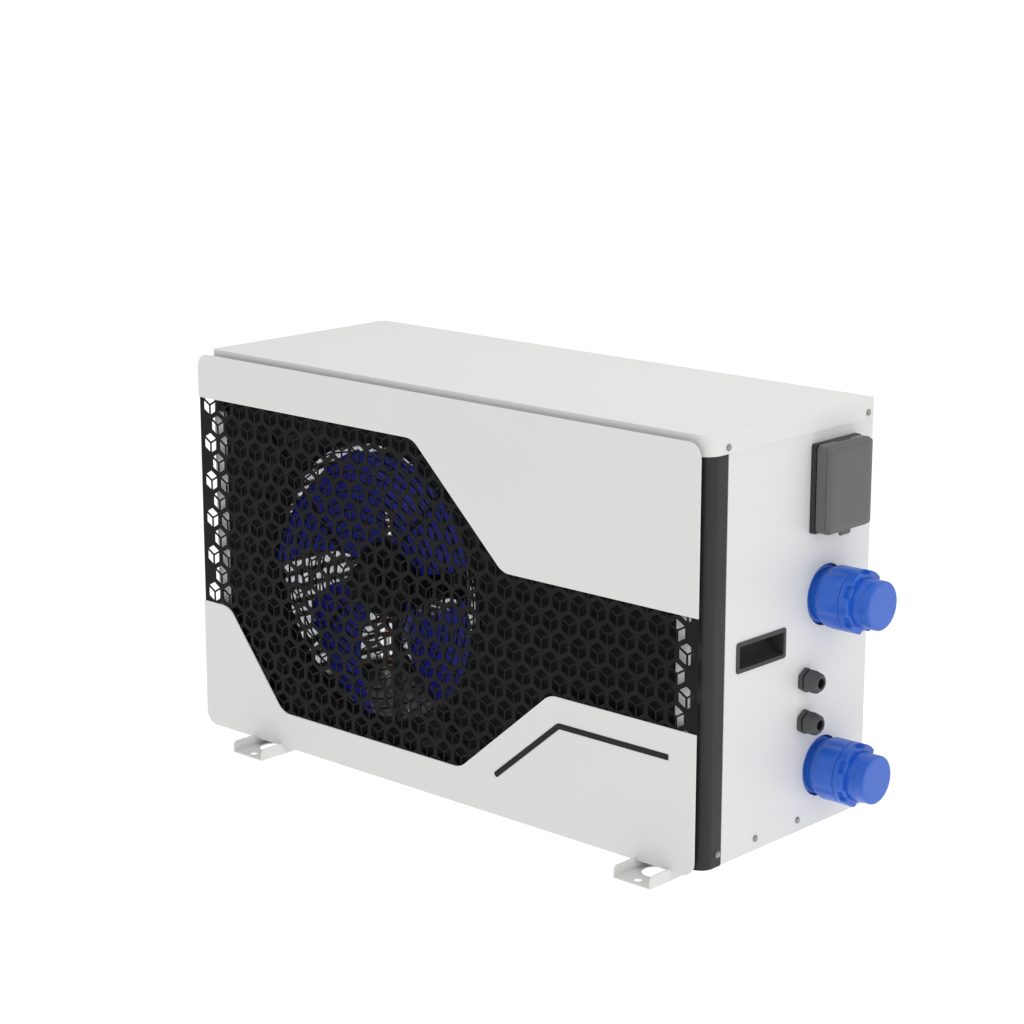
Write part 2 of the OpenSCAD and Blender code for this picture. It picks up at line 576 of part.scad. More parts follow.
// ---- controller ----
box_base_t = 8;
cover_x = x1 + box_base_t + 0.6;
cover_end = x1 + 33;
hinge = [x1 + box_base_t + 5.4, box_z + box_h - 3];
module controller_base() color("dimgray") difference() {
    union() {
        sideways(x1, box_base_t) polygon(box_outline([box_y, box_z], [box_y + box_w, box_z + box_h], [4, 4, 4, 4]));
        block([x1 + box_base_t - 1, box_y + 38, hinge.y - 5], [hinge.x + 3, box_y + box_w - 38, hinge.y + 3]);
    }
    rod_y(box_y, box_y + box_w, 2, hinge.x, hinge.y);
    rod_x(x1 - 1, x1 + 3, 14, box_y + box_w / 2, box_z + 40);
}
module hinge_pin() color("silver") rod_y(box_y + 20, box_y + box_w - 20, 2, hinge.x, hinge.y);
// Weather cover: a hollow lid with a latch tab at the bottom and two hinge ears at the top
module controller_cover() color("gray") difference() {
    union() {
        difference() {
            sideways(cover_x, cover_end - cover_x) polygon(box_outline([box_y + 1.5, box_z + 1],
                [box_y + box_w - 1.5, box_z + box_h - 0.4], [8, 8, 5, 5]));
            sideways(cover_x - 1, cover_end - 2.2 - cover_x + 1) polygon(box_outline([box_y + 3.7, box_z + 3.2],
                [box_y + box_w - 3.7, box_z + box_h - 2.6], [6, 6, 3, 3]));
        }
        for (y = [box_y + 22, box_y + box_w - 36]) block([hinge.x - 3.4, y, hinge.y - 3.4],
            [hinge.x + 3.4, y + 14, hinge.y + 2.6]);
        block([cover_end - 14, box_y + box_w / 2 - 12, box_z - 7], [cover_end - 9, box_y + box_w / 2 + 12, box_z + 2]);
    }
    rod_y(box_y + 3, box_y + box_w - 3, 2.06, hinge.x, hinge.y);
    block([cover_x - 2, box_y + 37.4, hinge.y - 6], [hinge.x + 5.2, box_y + box_w - 37.4, hinge.y + 6]);
    block([cover_x - 2, box_y, hinge.y], [hinge.x - 3.4, box_y + box_w, hinge.y + 6]);
}
panel_x = x1 + box_base_t;
button_places = [[box_y + 23, box_z + 22], [box_y + 43, box_z + 22], [box_y + 63, box_z + 22], [box_y + 83, box_z + 22]];
module display_panel() color("black") difference() {
    block([panel_x, box_y + 10, box_z + 8], [panel_x + 7, box_y + box_w - 10, box_z + box_h - 14]);
    block([panel_x + 5.6, box_y + 20, box_z + 42], [panel_x + 8, box_y + box_w - 20, box_z + box_h - 24]);
    for (p = button_places) rod_x(panel_x + 3, panel_x + 9, 6.4, p.x, p.y);
}
module button(i) rod_x(panel_x + 4.4, panel_x + 8.4, 6.1, button_places[i].x, button_places[i].y);
module button_power() color("gray") button(0);
module button_mode() color("gray") button(1);
module button_up() color("gray") button(2);
module button_down() color("gray") button(3);

// ---- fasteners ----
// Washer-head screw driven along -X from outside, its head resting on the face at x
module screw_x(x, y, z) {
    rod_x(x, x + 1, 5, y, z);
    rod_x(x + 1, x + 2.6, 3.8, y, z);
    rod_x(x - 10, x, 2, y, z);
}
module panel_screws() color("silver") {
    for (p = side_screw_places) screw_x(x1, p.x, p.y);
    screw_x(x1 - 0.5, -150.5, skin_z + 17);
}
module lid_screws() color("silver") for (y = [-146.8, 170.8]) {
    screw_x(x1 + lid_lip, y, top_z - 20);
    translate([x0 - lid_lip, 0, 0]) mirror([1, 0, 0]) screw_x(0, y, top_z - 20);
}

base_pan();
foot_left();
foot_right();
top_cover();
right_side_panel();
rear_panel();
rear_guard();
left_guard();
left_post();
right_post();
corner_column();
shroud_panel();
bell_mouth();
front_grille();
upper_front_plate();
lower_front_plate();
chevron_trim();
panel_spacers();
fan_guard();
fan_motor();
motor_bracket();
motor_shaft();
fan_impeller();
fan_nut();
evaporator_coil();
evaporator_tubes();
partition_panel();
compressor();
compressor_grommets();
accumulator();
heat_exchanger();
refrigerant_pipes();
four_way_valve();
electrical_box();
terminal_block();
union_tails();
union_orings();
union_nut_inlet();
union_nut_outlet();
union_sockets();
union_collars();
cap_inlet();
cap_outlet();
gland_bodies();
gland_nut_power();
gland_nut_signal();
gland_seals();
gland_locknuts();
handle_recess();
controller_base();
controller_cover();
hinge_pin();
display_panel();
button_power();
button_mode();
button_up();
button_down();
panel_screws();
lid_screws();
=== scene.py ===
# %% [markdown]
# # A pool heat pump, dressed and lit
# The cabinet is white sheet metal on two foot rails. A black perforated band crosses the front, with a fan behind
# it, and the blue water unions, the cable glands and the controller are on the right side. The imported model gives
# every size and every joint. This lesson loads it, keeps each node whose shape is already right, and builds finer
# pieces around the rest: the grille's ribs, the fan, the unions, the wire guards and the moulded covers.

import json
from math import radians

import bmesh
import bpy
import numpy as np
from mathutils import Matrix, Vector
from mathutils.geometry import delaunay_2d_cdt


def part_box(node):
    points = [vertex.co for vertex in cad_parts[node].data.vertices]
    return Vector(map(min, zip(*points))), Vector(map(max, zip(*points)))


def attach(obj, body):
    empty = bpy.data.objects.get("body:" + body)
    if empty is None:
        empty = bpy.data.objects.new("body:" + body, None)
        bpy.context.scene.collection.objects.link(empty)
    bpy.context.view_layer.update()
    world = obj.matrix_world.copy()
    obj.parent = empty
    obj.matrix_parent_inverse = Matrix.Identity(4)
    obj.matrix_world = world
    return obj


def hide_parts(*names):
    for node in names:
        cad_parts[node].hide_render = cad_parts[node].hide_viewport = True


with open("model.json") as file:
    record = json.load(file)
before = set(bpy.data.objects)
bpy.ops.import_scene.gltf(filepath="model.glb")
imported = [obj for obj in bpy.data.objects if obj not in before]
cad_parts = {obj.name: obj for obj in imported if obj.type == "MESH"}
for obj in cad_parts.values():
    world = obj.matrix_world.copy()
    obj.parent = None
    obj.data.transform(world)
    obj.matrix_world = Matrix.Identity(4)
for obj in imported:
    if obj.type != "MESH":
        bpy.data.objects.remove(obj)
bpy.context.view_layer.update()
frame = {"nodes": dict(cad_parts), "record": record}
nodes = frame["nodes"]
body_of = {node: body for body, members in frame["record"]["behaviour"]["bodies"].items() for node in members}
slot_of = {entry["node"]: entry["material_slot"] for entry in frame["record"]["subparts"]}
MM = 0.001


def ends(node):
    """Lowest and highest corner of a node, in millimetres, as arrays."""
    low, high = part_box(node)
    return np.array(low) / MM, np.array(high) / MM


# %% [markdown]
# ## Camera
# A long lens from about four metres keeps the cabinet's edges nearly parallel, so its shape reads true. The camera
# stands to the right of the front and a little above the lid. Setting its place and turn by numbers is simpler than
# a tracking constraint, and it leaves nothing alive in the scene.

# %% Camera
camera = bpy.data.objects.new("camera", bpy.data.cameras.new("camera"))
bpy.context.collection.objects.link(camera)
camera.location = (2.4913, -2.7641, 1.3116)
camera.rotation_euler = (radians(90 - 13.56), 0, radians(42.63))
camera.data.sensor_width = 36
camera.data.lens = 90.15
camera.data.clip_end = 60
bpy.context.scene.camera = camera
print("camera at", tuple(round(c, 3) for c in camera.location))

# %% [markdown]
# ## Nodes for materials
# Every material below is a small tree of shader nodes. One function adds a node, sets its sockets and links its
# inputs, so a tree reads as a list. Colours are written as the hex values seen on a screen. The shader wants linear
# light, so one function turns them.

# %% Colour and node helpers
def linear(hex_colour):
    """sRGB hex to linear RGBA: c / 12.92 below 0.04045, else ((c + 0.055) / 1.055) ^ 2.4."""
    c = np.array([int(hex_colour[i : i + 2], 16) / 255 for i in (1, 3, 5)])
    c = np.where(c <= 0.04045, c / 12.92, ((c + 0.055) / 1.055) ** 2.4)
    return (*c.tolist(), 1.0)


def add_node(tree, kind, inputs=None, links=None, **settings):
    """Adds one node of that kind, sets its attributes and input values, and links {input: (node, output)}."""
    node = tree.nodes.new(kind)
    for key, value in settings.items():
        setattr(node, key, value)
    for key, value in (inputs or {}).items():
        node.inputs[key].default_value = value
    for key, (source, output) in (links or {}).items():
        tree.links.new(source.outputs[output], node.inputs[key])
    return node


def new_material(name):
    """An empty node material and its tree."""
    material = bpy.data.materials.new(name)
    material.use_nodes = True
    material.node_tree.nodes.clear()
    return material, material.node_tree


print("white in linear light:", [round(c, 3) for c in linear("#E6E7E8")])

# %% [markdown]
# ## One recipe for coated and moulded surfaces
# Powder coat and moulded plastic are both a plain colour under a fine relief: orange peel on the coat, spark-eroded
# grain on the plastic. A noise texture through a Bump node gives the relief, a slow noise shifts the colour a touch,
# and the same slow noise changes the gloss, as handling does. The relief's scale is one over the grain's real size in
# metres.

# %% Surface recipe
def coated(name, colour, shade, roughness, grain_mm, relief, patch_mm=160.0, coat=0.0, metallic=0.0, specular=0.5):
    """Principled surface: colour to shade in slow patches, roughness with a small spread, noise relief of grain_mm."""
    material, tree = new_material(name)
    place = add_node(tree, "ShaderNodeTexCoord")
    slow = add_node(tree, "ShaderNodeTexNoise", {"Scale": 1000 / patch_mm, "Detail": 3.0, "Roughness": 0.5},
                    {"Vector": (place, "Object")})
    fine = add_node(tree, "ShaderNodeTexNoise", {"Scale": 1000 / grain_mm, "Detail": 2.0, "Roughness": 0.55},
                    {"Vector": (place, "Object")})
    tint = add_node(tree, "ShaderNodeMix", {6: linear(colour), 7: linear(shade)}, {0: (slow, "Fac")},
                    data_type="RGBA")
    gloss = add_node(tree, "ShaderNodeMapRange",
                     {"To Min": roughness - 0.05, "To Max": roughness + 0.05}, {"Value": (slow, "Fac")})
    bump = add_node(tree, "ShaderNodeBump", {"Strength": relief, "Distance": grain_mm * MM * 0.2},
                    {"Height": (fine, "Fac")})
    shader = add_node(tree, "ShaderNodeBsdfPrincipled",
                      {"Metallic": metallic, "Coat Weight": coat, "Coat Roughness": 0.2,
                       "Specular IOR Level": specular},
                      {"Roughness": (gloss, "Result"), "Normal": (bump, "Normal")})
    tree.links.new(tint.outputs[2], shader.inputs["Base Color"])
    add_node(tree, "ShaderNodeOutputMaterial", None, {"Surface": (shader, "BSDF")})
    return material


# Polyester powder coat, baked on zinc-coated steel: satin, with a faint orange peel about a millimetre across
white_coat = coated("polyester_powder_coat_white", "#E8E8E7", "#E5E5E4", 0.42, 1.4, 0.12)
black_coat = coated("polyester_powder_coat_black", "#141414", "#101010", 0.6, 1.2, 0.15, specular=0.16)
# PVC extrusion, co-extruded charcoal skin: smooth along its length
charcoal_skin = coated("pvc_extrusion_charcoal", "#2B2B2B", "#272727", 0.42, 0.9, 0.08, specular=0.35)
# ABS mouldings with a spark-eroded grain, drawn at half a millimetre so that it shows
black_abs = coated("abs_moulding_black", "#171717", "#131313", 0.5, 0.6, 0.25, specular=0.25)
tray_abs = coated("abs_moulding_charcoal", "#3C3C3C", "#383838", 0.5, 0.6, 0.2, specular=0.4)
grey_abs = coated("abs_moulding_mid_grey", "#666666", "#606060", 0.48, 0.6, 0.2, specular=0.4)
dark_abs = coated("abs_moulding_dark_grey", "#303031", "#2B2B2C", 0.5, 0.6, 0.2, specular=0.4)
key_silicone = coated("silicone_keycap_grey", "#A9ACAF", "#A2A5A8", 0.6, 0.4, 0.15)
# Glass-filled nylon, moulded glands: matt, with a hint of fibre
nylon_grey = coated("glass_filled_nylon_grey", "#4B4B4C", "#444445", 0.5, 0.5, 0.2)
# Pool-grade PVC-U, injection moulded and bright blue: glossy skin over a soft shine
union_blue = coated("pvc_u_moulding_blue", "#2264D0", "#1C5CC8", 0.36, 1.0, 0.06, coat=0.25)
# Glass-filled polypropylene fan blades, moulded deep blue
fan_blue = coated("polypropylene_fan_blue", "#0A1FB4", "#0819A4", 0.4, 0.8, 0.12)
rubber = coated("nitrile_rubber_black", "#1A1A1A", "#161616", 0.75, 0.5, 0.2)
print("coated and moulded materials:", len(bpy.data.materials))

# %% [markdown]
# ## Bare metals
# The steel parts inside are zinc-coated, with the crystal patches called spangle, and the screws are stainless. The
# coil's fins are rolled aluminium and its tubes are copper. A metal's colour is its reflection, so the base colour
# is light, the metallic value is one and only the roughness and a little relief vary.

# %% Metals
def spangle(name, light, dark, spangle_mm):
    """Zinc crystals: a Voronoi cell pattern mixes two greys and shifts the roughness from cell to cell."""
    material, tree = new_material(name)
    place = add_node(tree, "ShaderNodeTexCoord")
    cells = add_node(tree, "ShaderNodeTexVoronoi", {"Scale": 1000 / spangle_mm}, {"Vector": (place, "Object")})
    grey = add_node(tree, "ShaderNodeSeparateColor", None, {"Color": (cells, "Color")})
    tint = add_node(tree, "ShaderNodeMix", {6: linear(light), 7: linear(dark)}, {0: (grey, "Red")},
                    data_type="RGBA")
    gloss = add_node(tree, "ShaderNodeMapRange", {"To Min": 0.35, "To Max": 0.55}, {"Value": (grey, "Green")})
    shader = add_node(tree, "ShaderNodeBsdfPrincipled", {"Metallic": 1.0}, {"Roughness": (gloss, "Result")})
    tree.links.new(tint.outputs[2], shader.inputs["Base Color"])
    add_node(tree, "ShaderNodeOutputMaterial", None, {"Surface": (shader, "BSDF")})
    return material


zinc_sheet = spangle("galvanised_steel_sheet", "#C9CCCF", "#AEB2B6", 9.0)
stainless = coated("stainless_steel_turned", "#A6A4A0", "#9C9A96", 0.34, 0.5, 0.1, metallic=1.0)
copper = coated("copper_tube_drawn", "#C98462", "#B26F4E", 0.3, 1.5, 0.08, patch_mm=40, metallic=1.0)
brass = coated("brass_turned", "#CBA961", "#B99752", 0.28, 0.6, 0.06, metallic=1.0)
fin_metal = coated("aluminium_fin_stock", "#F4F5F6", "#EEF0F2", 0.2, 1.0, 0.02, metallic=1.0)
motor_paint = coated("stove_enamel_black", "#26272A", "#202124", 0.4, 1.5, 0.15)
shell_plastic = coated("polypropylene_shell_dark", "#2A2C30", "#25272B", 0.5, 1.2, 0.15)
display_glass = coated("acrylic_window_black", "#0A0B0D", "#08090A", 0.08, 5.0, 0.0, coat=0.5)
print("all materials:", len(bpy.data.materials))

# %% [markdown]
# ## Dress every node
# A node keeps its mesh and gets its finish through its material slot. One table says which finish goes with which
# slot of the record, and every node is dressed from it, whether it is shown or a finer piece stands for it.

# %% Finish for each slot
finish = {
    "white_steel": white_coat, "galvanised_steel": zinc_sheet, "charcoal_plastic": charcoal_skin,
    "black_steel": black_coat, "black_plastic": black_abs, "motor_casting": motor_paint,
    "stainless_steel": stainless, "dark_blue_plastic": fan_blue, "fin_aluminium": fin_metal,
    "copper_tube": copper, "brass_body": brass, "black_rubber": rubber, "dark_shell_plastic": shell_plastic,
    "blue_plastic": union_blue, "gland_plastic": nylon_grey, "controller_base_plastic": dark_abs,
    "controller_cover_plastic": grey_abs, "display_plastic": display_glass, "button_plastic": key_silicone,
}
for name, node in nodes.items():
    node.data.materials.clear()
    node.data.materials.append(finish[slot_of[name]])
print("dressed", len(nodes), "nodes")

# %% [markdown]
# ## Turning arrays into pieces
# New shapes are worked out as arrays of points in millimetres. One function puts points and faces into a mesh,
# merges points that coincide at seams and poles, turns the faces outwards, hides the node the piece stands for
# and hangs the piece on that node's body. Edges sharper than 30 degrees stay crisp and the rest shade smoothly.

# %% Mesh helpers
def piece(name, points, faces, node, also=(), material=None, crease=30.0):
    """A mesh from points in mm and faces, standing for a node (and also others) and riding on its body."""
    mesh = bpy.data.meshes.new(name)
    mesh.from_pydata((np.asarray(points) * MM).reshape(-1, 3).tolist(), [], [list(face) for face in faces])
    work = bmesh.new()
    work.from_mesh(mesh)
    bmesh.ops.remove_doubles(work, verts=work.verts, dist=1e-6)
    bmesh.ops.dissolve_degenerate(work, edges=work.edges, dist=1e-7)
    bmesh.ops.recalc_face_normals(work, faces=work.faces)
    work.to_mesh(mesh)
    work.free()
    return finished(name, mesh, node, also, material, crease)


def finished(name, mesh, node, also=(), material=None, crease=30.0):
    """Links a mesh as a piece with smooth faces, sharp edges above the crease angle, a finish and a body."""
    mesh.materials.clear()
    mesh.materials.append(material or finish[slot_of[node]])
    mesh.shade_smooth()
    mesh.set_sharp_from_angle(angle=radians(crease))
    made = bpy.data.objects.new(name, mesh)
    bpy.context.collection.objects.link(made)
    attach(made, body_of[node])
    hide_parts(node, *also)
    print(f"{name}: {len(mesh.vertices)} points, {len(mesh.polygons)} faces")
    return made


def grid_faces(rows, columns, around=False, closed=False):
    """Quads of a rows by columns grid of points; around joins the last column to the first, closed the last row."""
    r = np.arange(rows if closed else rows - 1)[:, None]
    c = np.arange(columns if around else columns - 1)[None, :]
    low, high = r * columns, (r + 1) % rows * columns
    right = (c + 1) % columns
    return np.stack([low + c, low + right, high + right, high + c], axis=-1).reshape(-1, 4)


def many(points, faces):
    """Faces of n equal copies: points is (n, count, 3), and each copy's faces are shifted by its count."""
    shift = np.arange(len(points))[:, None, None] * points.shape[1]
    return (np.asarray(faces)[None] + shift).reshape(-1, np.asarray(faces).shape[1])


print("a 3 by 4 grid has", len(grid_faces(3, 4)), "quads")

# %% [markdown]
# ## Easing the edges of sheet and moulded parts
# Real folded sheet and mouldings have no perfectly sharp edge, and the thin highlight along an edge is what makes a
# part look real. A node arrives as loose triangles, so a copy is merged, its flat areas are joined into single
# faces, and a Bevel modifier then rounds what is left. The node itself is never touched.

# %% Eased copies of nodes
def eased(node, radius_mm, steps=2, angle=35.0, material=None):
    """A merged copy of a node whose edges sharper than angle are rounded by radius_mm."""
    work = bmesh.new()
    work.from_mesh(nodes[node].data)
    bmesh.ops.remove_doubles(work, verts=work.verts, dist=2e-6)
    bmesh.ops.dissolve_limit(work, angle_limit=radians(0.5), verts=work.verts, edges=work.edges)
    mesh = bpy.data.meshes.new(node + "_eased")
    work.to_mesh(mesh)
    work.free()
    made = finished(node + "_eased", mesh, node, material=material, crease=angle)
    ease = made.modifiers.new("ease", "BEVEL")
    ease.width = radius_mm * MM
    ease.segments = steps
    ease.limit_method = "ANGLE"
    ease.angle_limit = radians(angle)
    ease.harden_normals = True
    return made


for node, radius in {"top_cover": 1.2, "upper_front_plate": 0.35, "lower_front_plate": 0.35, "right_side_panel": 0.3,
                     "rear_panel": 0.3, "left_post": 0.3, "right_post": 0.3, "foot_left": 0.4, "foot_right": 0.4,
                     "base_pan": 0.5, "chevron_trim": 0.3, "controller_base": 0.8}.items():
    eased(node, radius)

# %% [markdown]
# ## Corner column
# The dark column is an extruded angle with one generous round between the front and the side. Its section is an
# outline of straight runs and an arc, so it is drawn as a profile and carried straight up. The arc gets many short
# steps, because the long highlight on it shows every facet.

# %% Outlines, prisms and the column
def soften(corners, radii, steps=8):
    """Rounds each corner of a closed outline: the arc's centre lies on the corner's bisector, r / sin(half) away."""
    p = np.asarray(corners, float)
    r = np.broadcast_to(np.maximum(np.asarray(radii, float), 1e-4), len(p))[:, None]
    back, on = np.roll(p, 1, axis=0) - p, np.roll(p, -1, axis=0) - p
    back, on = back / np.linalg.norm(back, axis=1)[:, None], on / np.linalg.norm(on, axis=1)[:, None]
    half = np.arccos(np.clip((back * on).sum(1), -1, 1))[:, None] / 2
    middle = back + on
    centre = p + middle / np.linalg.norm(middle, axis=1)[:, None] * r / np.sin(half)
    start, end = p + back * r / np.tan(half) - centre, p + on * r / np.tan(half) - centre
    t = np.linspace(0, 1, steps + 1)[None, :, None]
    sweep = np.pi - 2 * half[:, :, None]
    arc = (np.sin((1 - t) * sweep) * start[:, None] + np.sin(t * sweep) * end[:, None]) / np.sin(sweep)
    return (centre[:, None] + arc).reshape(-1, 2)


def prism(outline, low, high, order):
    """A closed outline carried from low to high; order says which axis each of (a, b, height) becomes."""
    n = len(outline)
    points = np.zeros((2, n, 3))
    points[:, :, order[0]], points[:, :, order[1]] = outline[:, 0], outline[:, 1]
    points[0, :, order[2]], points[1, :, order[2]] = low, high
    faces = [*grid_faces(2, n, around=True), np.arange(n)[::-1], np.arange(n, 2 * n)]
    return points.reshape(-1, 3), faces


low, high = ends("corner_column")
wall = 2.0
right_skirt = soften(
    [[low[0], low[1]], [high[0], low[1]], [high[0], high[1]], [high[0] - wall, high[1]],
     [high[0] - wall, low[1] + wall], [low[0], low[1] + wall]],
    [0.4, 20, 0.4, 0.4, 18, 0.4], steps=20)
piece("corner_column_extrusion", *prism(right_skirt, low[2], high[2], (0, 1, 2)), "corner_column")

# %% [markdown]
# ## Perforated grille
# The band is one black steel sheet cut with a pattern of cubes: a hexagonal opening with three thin ribs that meet
# in its middle. Each opening is therefore three small rhombi. Their corners come from one formula, the staggered
# lattice of centres is an array, and a constrained triangulation fills the sheet around all the holes at once. Its
# front and back are that same triangulation, and every loop of the drawing gets a wall.

# %% Grille
front_left = ends("upper_front_plate")[0][0]
SIDE, OPEN, RIB, EDGE = 20.1, 16.0, 2.75, (-3.8, 586.0)


def toward(degrees):
    """Unit vector in the plane of the front, counted from the right, anticlockwise."""
    return np.array([np.cos(np.radians(degrees)), np.sin(np.radians(degrees))])


def cube_openings():
    """Three rhombi: inner corner h / sin 60 out, side corners on the hexagon shifted by the rib, far corner on it."""
    h = RIB / 2 / np.sin(np.radians(60))
    return np.array([[h * toward(b), OPEN * toward(b - 60) + h * toward(b + 60), OPEN * toward(b),
                      OPEN * toward(b + 60) + h * toward(b - 60)] for b in (90, 210, 330)])


band = np.array([[0, 528.3], [0, 198.7], [59.4, 198.7], [179.4, 50.5], [562.2, 50.5], [737.1, 198.7],
                 [1000, 198.7], [1000, 360], [647.4, 360], [469.6, 528.3]])
k, j = np.meshgrid(np.arange(56), np.arange(10), indexing="ij")
centres = np.stack([23.2 + k * SIDE * np.sqrt(3) / 2, 517.7 - 3 * SIDE * (j + k % 2 / 2)], axis=-1).reshape(-1, 2)


def near_band(p, reach):
    """True for points inside the band or within reach of its outline: even-odd crossing, then distance to edges."""
    a, b = band[None], np.roll(band, -1, axis=0)[None]
    q = p[:, None]
    across = (a[..., 1] > q[..., 1]) != (b[..., 1] > q[..., 1])
    rise = np.where(b[..., 1] == a[..., 1], 1, b[..., 1] - a[..., 1])
    at = a[..., 0] + (q[..., 1] - a[..., 1]) * (b[..., 0] - a[..., 0]) / rise
    inside = (across & (q[..., 0] < at)).sum(1) % 2 == 1
    t = np.clip(((q - a) * (b - a)).sum(-1) / ((b - a) ** 2).sum(-1), 0, 1)[..., None]
    return inside | (np.linalg.norm(q - a - t * (b - a), axis=-1).min(1) < reach)


centres = centres[near_band(centres, 14.0)]
holes = (centres[:, None, None] + cube_openings()[None]).reshape(-1, 4, 2)
rim = soften([[1, EDGE[0]], [999, EDGE[0]], [999, EDGE[1]], [1, EDGE[1]]], 20, steps=8)
drawing = np.concatenate([rim, holes.reshape(-1, 2)])
loops = [np.arange(len(rim)), *(np.arange(len(holes) * 4).reshape(-1, 4) + len(rim))]
flat, _, filled, *_ = delaunay_2d_cdt([Vector(p) for p in drawing], [], [loop.tolist() for loop in loops], 2, 1e-4)
print(len(centres), "cubes,", len(holes), "openings,", len(filled), "triangles in the sheet")

# %% [markdown]
# ## From a drawing to a sheet
# The triangulation is flat. It is laid at the sheet's front and at its back, and each loop of the drawing, the rim and
# every opening alike, is joined from front to back by a ring of quads. That gives the sheet its real thickness.

# %% Grille sheet from its drawing
low, high = ends("front_grille")
flat = np.array([tuple(p) for p in flat])
sheet_points = np.zeros((2, len(flat), 3))
sheet_points[:, :, 0], sheet_points[:, :, 2] = flat[:, 0] + front_left, flat[:, 1] + 19.0
sheet_points[0, :, 1], sheet_points[1, :, 1] = low[1], high[1]
filled = np.array([list(face) for face in filled])
walls = [np.stack([loop, np.roll(loop, -1), np.roll(loop, -1) + len(flat), loop + len(flat)], axis=1) for loop in loops]
piece("front_grille_sheet", sheet_points, [*filled.tolist(), *(filled[:, ::-1] + len(flat)).tolist(),
                                            *np.concatenate(walls).tolist()], "front_grille")

# %% [markdown]
# ## Round parts
# Nuts, pipes, hubs and rings are profiles turned about an axis. A profile is a list of (along, radius) points, and
# turning it is one outer product with the cosine and sine of the steps. A closed profile makes a ring, and one that
# starts and ends on the axis makes a solid. A second function makes the radius change round the axis as well, for
# the grips on a nut.

# %% Turned parts
def turned(profile, centre, axis, steps=64, wobble=None, closed=True):
    """(along, radius) turned about an axis through centre; wobble(along, radius, angle) may change the radius."""
    profile = np.asarray(profile, float)
    angle = np.linspace(0, 2 * np.pi, steps, endpoint=False)
    radius = np.broadcast_to(profile[:, 1:2], (len(profile), steps))
    if wobble is not None:
        radius = wobble(profile[:, 0:1], profile[:, 1:2], angle[None, :])
    points = np.zeros((len(profile), steps, 3))
    first, second = [a for a in range(3) if a != axis]
    points[..., axis] = profile[:, 0:1] + centre[axis]
    points[..., first] = centre[first] + radius * np.cos(angle)
    points[..., second] = centre[second] + radius * np.sin(angle)
    return points.reshape(-1, 3), grid_faces(len(profile), steps, around=True, closed=closed)


def joined(*shapes):
    """Puts several (points, faces) shapes into one list of points and faces."""
    points, faces, count = [], [], 0
    for p, f in shapes:
        p = np.asarray(p).reshape(-1, 3)
        points.append(p)
        faces.extend((np.asarray(face) + count).tolist() for face in f)
        count += len(p)
    return np.concatenate(points), faces


print("a ring of 4 by 64 points has", len(turned([[0, 1], [1, 1], [1, 2], [0, 2]], (0, 0, 0), 0)[1]), "quads")

# %% [markdown]
# ## Bell mouth and fan guard
# The bell mouth is a smooth quarter round that leads the air into the fan, so its profile is an arc. The guard in
# front of it is wire: rings of round steel wire welded onto four flat legs. A ring is a small circle turned about
# the fan's axis, and all the rings are one array.

# %% Bell mouth and guard
fan_x, fan_z = -185.0, 304.0
low, high = ends("bell_mouth")
bell, depth = (high[0] - low[0]) / 2, high[1] - low[1]
throat, gauge = bell - 48.0, 2.4
t = np.radians(np.linspace(0, 90, 15))
mouth = np.concatenate([np.stack([(depth - 6) * (1 - np.cos(t)), bell - 48 * np.sin(t)], 1), [[depth, throat]],
                        [[depth, throat + gauge]],
                        np.stack([gauge + (depth - 8.4) * (1 - np.cos(t)), bell - 45.6 * np.sin(t)], 1)[::-1]])
piece("bell_mouth_spinning", *turned(mouth, (fan_x, low[1], fan_z), 1, steps=144), "bell_mouth")

low, high = ends("fan_guard")
wire = 1.5
rings = 42 + 14.6 * np.arange(15)
t = np.linspace(0, 2 * np.pi, 8, endpoint=False)
ring_set = [turned(np.stack([low[1] + wire + wire * np.cos(t), r + wire * np.sin(t)], 1), (fan_x, 0, fan_z), 1, 96)
            for r in rings]
hub_plate = turned([[low[1] + 1, 0], [low[1] + 1, 30], [low[1] + 2.4, 32], [low[1] + 4.4, 32], [low[1] + 4.6, 0]],
                   (fan_x, 0, fan_z), 1, 48, closed=False)
leg = soften([[20, -3], [306, -3], [306, 3], [20, 3]], 1.5, steps=4)
legs = []
for a in (45, 135, 225, 315):
    turn = np.array([toward(a), toward(a + 90)])
    legs.append(prism(leg @ turn + [fan_x, fan_z], high[1] - 2.4, high[1] - 0.2, (0, 2, 1)))
piece("fan_guard_wires", *joined(*ring_set, hub_plate, *legs), "fan_guard")

# %% [markdown]
# ## Fan
# An axial blade is a thin surface whose pitch is steep at the hub and flat at the tip, and whose edges sweep
# forwards. It is drawn as a function of radius and of the place between its edges: the angle runs from the trailing
# to the leading edge, the depth follows from the pitch and a slight camber, and a second sheet behind it gives the
# thickness. The hub is a turned cup in a darker plastic, so it is a piece of its own.

# %% Fan
low, high = ends("fan_impeller")
hub_r, tip_r, fan_y = 58.0, 202.5, high[1] - 34
BLADES, FIRST_BLADE = 4, 38


